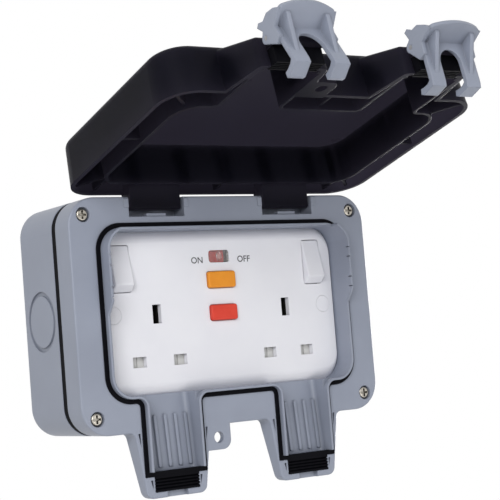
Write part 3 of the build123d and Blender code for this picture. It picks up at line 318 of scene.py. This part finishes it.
def painted_flag():
    """Painted flag behind the window: speckled red on its left part, near black on the rest."""
    material, tree, output = new_material("painted_flag")
    place = millimetres(tree)
    across = add_node(tree, "ShaderNodeSeparateXYZ", {"Vector": place})
    dark = add_node(
        tree, "ShaderNodeMath", {0: across.outputs["X"], 1: FLAG_SPLIT_MM}, operation="GREATER_THAN"
    )
    speck = add_node(
        tree, "ShaderNodeTexNoise", {"Vector": place, "Scale": 1 / FLAG_SPECK_MM, "Detail": 2.0}
    )
    red = add_node(tree, "ShaderNodeValToRGB", {"Fac": speck.outputs["Fac"]})
    for stop, tone in zip(red.color_ramp.elements, ("#C8201F", "#EE4038")):
        stop.color = linear(tone)
    colours = add_node(
        tree, "ShaderNodeMix",
        {"Factor": dark.outputs["Value"], 6: red.outputs["Color"], 7: linear("#26181A")},
        data_type="RGBA",
    )
    shader = add_node(
        tree, "ShaderNodeBsdfPrincipled", {"Base Color": colours.outputs[2], "Roughness": 0.4}
    )
    tree.links.new(shader.outputs["BSDF"], output.inputs["Surface"])
    return material


# Polycarbonate from a lightly textured tool: satin blue-grey with soft edges and painted shade in its
# grooves
grey_polycarbonate = moulded(
    "grey_polycarbonate", "#9298A7", "#8C92A1", roughness=0.4, specular=0.4,
    grain_mm=0.9, grain_depth_mm=0.02, edge_mm=0.7, crevice_shade_mm=4.0,
)
# Smoked polycarbonate: nearly black, with a crown thin enough to glow, and its hinge wall painted lighter
# between the ribs behind it, with painted shadows at the ribs
smoked_polycarbonate = moulded(
    "smoked_polycarbonate", "#12131C", "#0E0E15", roughness=0.3, specular=0.05,
    grain_mm=0.8, grain_depth_mm=0.02, edge_mm=0.5, glow="#938F9D", painted_wall_light="#21212A",
)
# Moulded rubber: matt black that hardly reflects
epdm_rubber = moulded(
    "epdm_rubber", "#0E0E13", "#08080C", roughness=0.6, specular=0.05,
    grain_mm=0.5, grain_depth_mm=0.03, edge_mm=0.2,
)
# Urea moulding from a polished tool: hard, smooth white with a low gloss and painted shade in its fine
# seams
white_urea = moulded(
    "white_urea", "#EAEAEF", "#E6E6EC", roughness=0.3, specular=0.3,
    grain_mm=1.6, grain_depth_mm=0.004, edge_mm=0.3, crevice_shade_mm=1.2,
)
# Moulded nylon: a duller, warmer white than the plate
shutter_nylon = moulded(
    "shutter_nylon", "#CFCFCD", "#C4C4C1", roughness=0.5, specular=0.2,
    grain_mm=1.2, grain_depth_mm=0.01, edge_mm=0.15,
)
# Phenolic moulding: brown-black and matt
dark_phenolic = moulded(
    "dark_phenolic", "#1C1A1A", "#151313", roughness=0.6, specular=0.2,
    grain_mm=1.0, grain_depth_mm=0.02, edge_mm=0.2,
)
# Moulded ABS buttons: an even, strong colour with a soft gloss and painted shade in their gaps and grooves
orange_abs = moulded(
    "orange_abs", "#EA972A", "#E28C22", roughness=0.35, specular=0.3,
    grain_mm=0.8, grain_depth_mm=0.01, edge_mm=0.3, blotch_mm=6.0, crevice_shade_mm=1.0,
)
red_abs = moulded(
    "red_abs", "#DC4634", "#D23B2A", roughness=0.35, specular=0.3,
    grain_mm=0.8, grain_depth_mm=0.01, edge_mm=0.3, blotch_mm=6.0, crevice_shade_mm=1.0,
)
# Nickel-plated steel: warm and bright, with painted shade in the screws' crosses
nickel_steel = drawn_metal("nickel_steel", "#C9C4BA", "#8F8980", roughness=0.3, scratch_mm=0.6)
# Bare steel: cooler and a little duller
bare_steel = drawn_metal("bare_steel", "#B4B4B6", "#7E7E82", roughness=0.35, scratch_mm=0.8)
# Pressed brass: yellow with long soft marks
contact_brass = drawn_metal("contact_brass", "#D3A75A", "#A87B37", roughness=0.3, scratch_mm=1.2)
# Enamelled copper wire: red-brown with a varnished gloss
enamelled_wire = drawn_metal("enamelled_wire", "#B26A3C", "#7E4020", roughness=0.3, scratch_mm=0.5)
# Lacquered circuit board: cloudy green with a satin face
circuit_board = moulded(
    "circuit_board", "#2E6B3A", "#255C30", roughness=0.4,
    grain_mm=1.0, grain_depth_mm=0.02, edge_mm=0.1, blotch_mm=8.0,
)
# Printing ink: flat dark grey
print_ink = moulded(
    "print_ink", "#2E2F34", "#222328", roughness=0.5,
    grain_mm=0.5, grain_depth_mm=0.002, edge_mm=0.05, blotch_mm=2.0,
)
window_clear = clear_polycarbonate()
flag_paint = painted_flag()

finishes = {
    grey_polycarbonate: ["back_box", "front_frame", "latch_left", "latch_right"],
    smoked_polycarbonate: ["lid"],
    epdm_rubber: [
        "box_gasket", "lid_seal", "cable_seal_left", "cable_seal_right",
        "lid_cable_seal_left", "lid_cable_seal_right",
    ],
    white_urea: ["socket_plate", "rocker_left", "rocker_right", "screw_cap_left", "screw_cap_right"],
    shutter_nylon: ["shutter_left", "shutter_right"],
    dark_phenolic: ["socket_base"],
    orange_abs: ["reset_button"],
    red_abs: ["test_button"],
    nickel_steel: ["frame_screws", "plate_screws", "terminal_screws"],
    bare_steel: [
        "hinge_pin_left", "hinge_pin_right", "latch_pin_left", "latch_pin_right", "trip_solenoid",
    ],
    contact_brass: [
        "earth_contact_left", "earth_contact_right", "live_contact_left", "live_contact_right",
        "neutral_contact_left", "neutral_contact_right", "terminal_blocks",
    ],
    circuit_board: ["rcd_board"],
    enamelled_wire: ["rcd_coil"],
    window_clear: ["indicator_window"],
    flag_paint: ["indicator_flag"],
}
for finish, names in finishes.items():
    for name in names:
        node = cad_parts[name]
        node.data.materials.clear()
        node.data.materials.append(finish)


def on_plate(x_mm, z_mm):
    """Point just proud of the plate's face, in metres."""
    return Vector((x_mm, plate_face_mm - PROUD_MM, z_mm)) * MM


def printed_word(name, letters, centre):
    """Word printed on the plate, as a flat mesh just proud of its face."""
    curve = bpy.data.curves.new(name, "FONT")
    curve.body = letters
    curve.align_x = "CENTER"
    curve.align_y = "CENTER"
    curve.size = WORD_HEIGHT_MM / CAPITAL_SHARE * MM
    curve.offset = WORD_BOLDER_MM * MM
    maker = new_object(name, curve)
    drawn = maker.evaluated_get(bpy.context.evaluated_depsgraph_get())
    shape = bpy.data.meshes.new_from_object(drawn)
    bpy.data.objects.remove(maker)
    shape.transform(Matrix.Translation(centre) @ Matrix.Rotation(pi / 2, 4, "X"))
    shape.materials.clear()
    shape.materials.append(print_ink)
    piece = new_object(name, shape)
    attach(piece, "enclosure")


def window_dome(foot):
    """Small clear dome in the middle of the window, closed at its foot, which catches a glint."""
    maker = bmesh.new()
    bmesh.ops.create_uvsphere(maker, u_segments=DOME_MERIDIANS, v_segments=DOME_RINGS, radius=MM)
    maker.transform(Matrix.Translation(foot) @ Matrix.Diagonal((*DOME_HALF_MM, 1)))
    cut = bmesh.ops.bisect_plane(
        maker, geom=maker.verts[:] + maker.edges[:] + maker.faces[:],
        plane_co=foot, plane_no=(0, 1, 0), clear_outer=True,
    )
    rim = [part for part in cut["geom_cut"] if isinstance(part, bmesh.types.BMEdge)]
    bmesh.ops.contextual_create(maker, geom=rim)
    # Only the foot has more than four corners, and it stays flat
    for face in maker.faces:
        face.smooth = len(face.verts) <= 4
    shape = bpy.data.meshes.new("indicator_dome")
    maker.to_mesh(shape)
    maker.free()
    shape.materials.append(window_clear)
    piece = new_object("indicator_dome", shape)
    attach(piece, "enclosure")


for name, letters, word_x_mm in PLATE_WORDS:
    printed_word(name, letters, on_plate(word_x_mm, window_mm.z - WORD_BELOW_WINDOW_MM))
window_dome(on_plate(window_mm.x, window_mm.z))


def seen_rays(tree):
    """1 for rays that show the surround itself: to the camera, in gloss or through glass."""
    path = add_node(tree, "ShaderNodeLightPath")
    direct = add_node(
        tree, "ShaderNodeMath", {0: path.outputs["Is Camera Ray"], 1: path.outputs["Is Glossy Ray"]},
        operation="MAXIMUM",
    )
    return add_node(
        tree, "ShaderNodeMath", {0: direct.outputs["Value"], 1: path.outputs["Is Transmission Ray"]},
        operation="MAXIMUM",
    ).outputs["Value"]


def pale_floor():
    """Pale floor that keeps the object's shadow near it and runs out to plain white."""
    material, tree, output = new_material("pale_floor")
    reach = add_node(tree, "ShaderNodeVectorMath", {0: millimetres(tree)}, operation="LENGTH")
    white = add_node(
        tree, "ShaderNodeMapRange",
        {"Value": reach.outputs["Value"], "From Min": FLOOR_FADE_MM[0], "From Max": FLOOR_FADE_MM[1],
         "To Min": FLOOR_WHITE[0], "To Max": FLOOR_WHITE[1]},
        interpolation_type="SMOOTHSTEP",
    )
    seen = add_node(
        tree, "ShaderNodeMath", {0: white.outputs["Result"], 1: seen_rays(tree)}, operation="MULTIPLY"
    )
    paint = add_node(tree, "ShaderNodeBsdfDiffuse", {"Color": linear("#F4F4F4")})
    glow = add_node(tree, "ShaderNodeEmission", {"Color": linear("#FFFFFF"), "Strength": 1.0})
    mixed = add_node(
        tree, "ShaderNodeMixShader",
        {"Fac": seen.outputs["Value"], 1: paint.outputs["BSDF"], 2: glow.outputs["Emission"]},
    )
    tree.links.new(mixed.outputs["Shader"], output.inputs["Surface"])
    return material


# Floor
floor_mesh = bpy.data.meshes.new("floor")
corner_signs = ((-1, -1), (1, -1), (1, 1), (-1, 1))
corners = [(x * FLOOR_HALF, y * FLOOR_HALF, FLOOR_Z) for x, y in corner_signs]
floor_mesh.from_pydata(corners, [], [(0, 1, 2, 3)])
floor_mesh.materials.append(pale_floor())
floor = new_object("floor", floor_mesh)

# Light: an even white surround and three soft lamps
world = bpy.data.worlds.new("studio")
bpy.context.scene.world = world
world.use_nodes = True
sky = world.node_tree
sky.nodes.clear()
sky_strength = add_node(
    sky, "ShaderNodeMapRange",
    {"Value": seen_rays(sky), "To Min": SURROUND_LIGHT, "To Max": SURROUND_SEEN},
)
sky_light = add_node(
    sky, "ShaderNodeBackground",
    {"Color": linear("#FFFFFF"), "Strength": sky_strength.outputs["Result"]},
)
add_node(sky, "ShaderNodeOutputWorld", {"Surface": sky_light.outputs["Background"]})


def soft_lamp(name, place, target, size, power):
    """Square area lamp aimed at a point of the object, in metres and watts."""
    lamp = bpy.data.lights.new(name, "AREA")
    lamp.size = size
    lamp.energy = power
    holder = new_object(name, lamp)
    holder.location = place
    holder.rotation_euler = (Vector(target) - Vector(place)).to_track_quat("-Z", "Y").to_euler()


soft_lamp("key_lamp", place=(-0.75, -0.9, 0.4), target=(0, -0.05, 0), size=0.6, power=8.6)
soft_lamp("fill_lamp", place=(0.3, -0.95, -0.4), target=(0, -0.05, 0), size=0.5, power=3)
soft_lamp("rim_lamp", place=(0.85, 0.4, 0.0), target=(0.05, -0.05, 0.05), size=0.4, power=6)

# Camera
photo_lens = bpy.data.cameras.new("photo_camera")
photo_lens.lens = CAMERA_LENS_MM
photo_lens.sensor_width = CAMERA_SENSOR_MM
photo_lens.clip_start = CAMERA_NEAR_MM * MM
camera = new_object("photo_camera", photo_lens)
axes = [Vector(CAMERA_RIGHT), Vector(CAMERA_UP), -Vector(CAMERA_FORWARD)]
turn = Matrix(axes).transposed().to_4x4()
camera.matrix_world = Matrix.Translation(Vector(CAMERA_PLACE_MM) * MM) @ turn
bpy.context.scene.camera = camera

bpy.context.scene.view_settings.view_transform = "Standard"
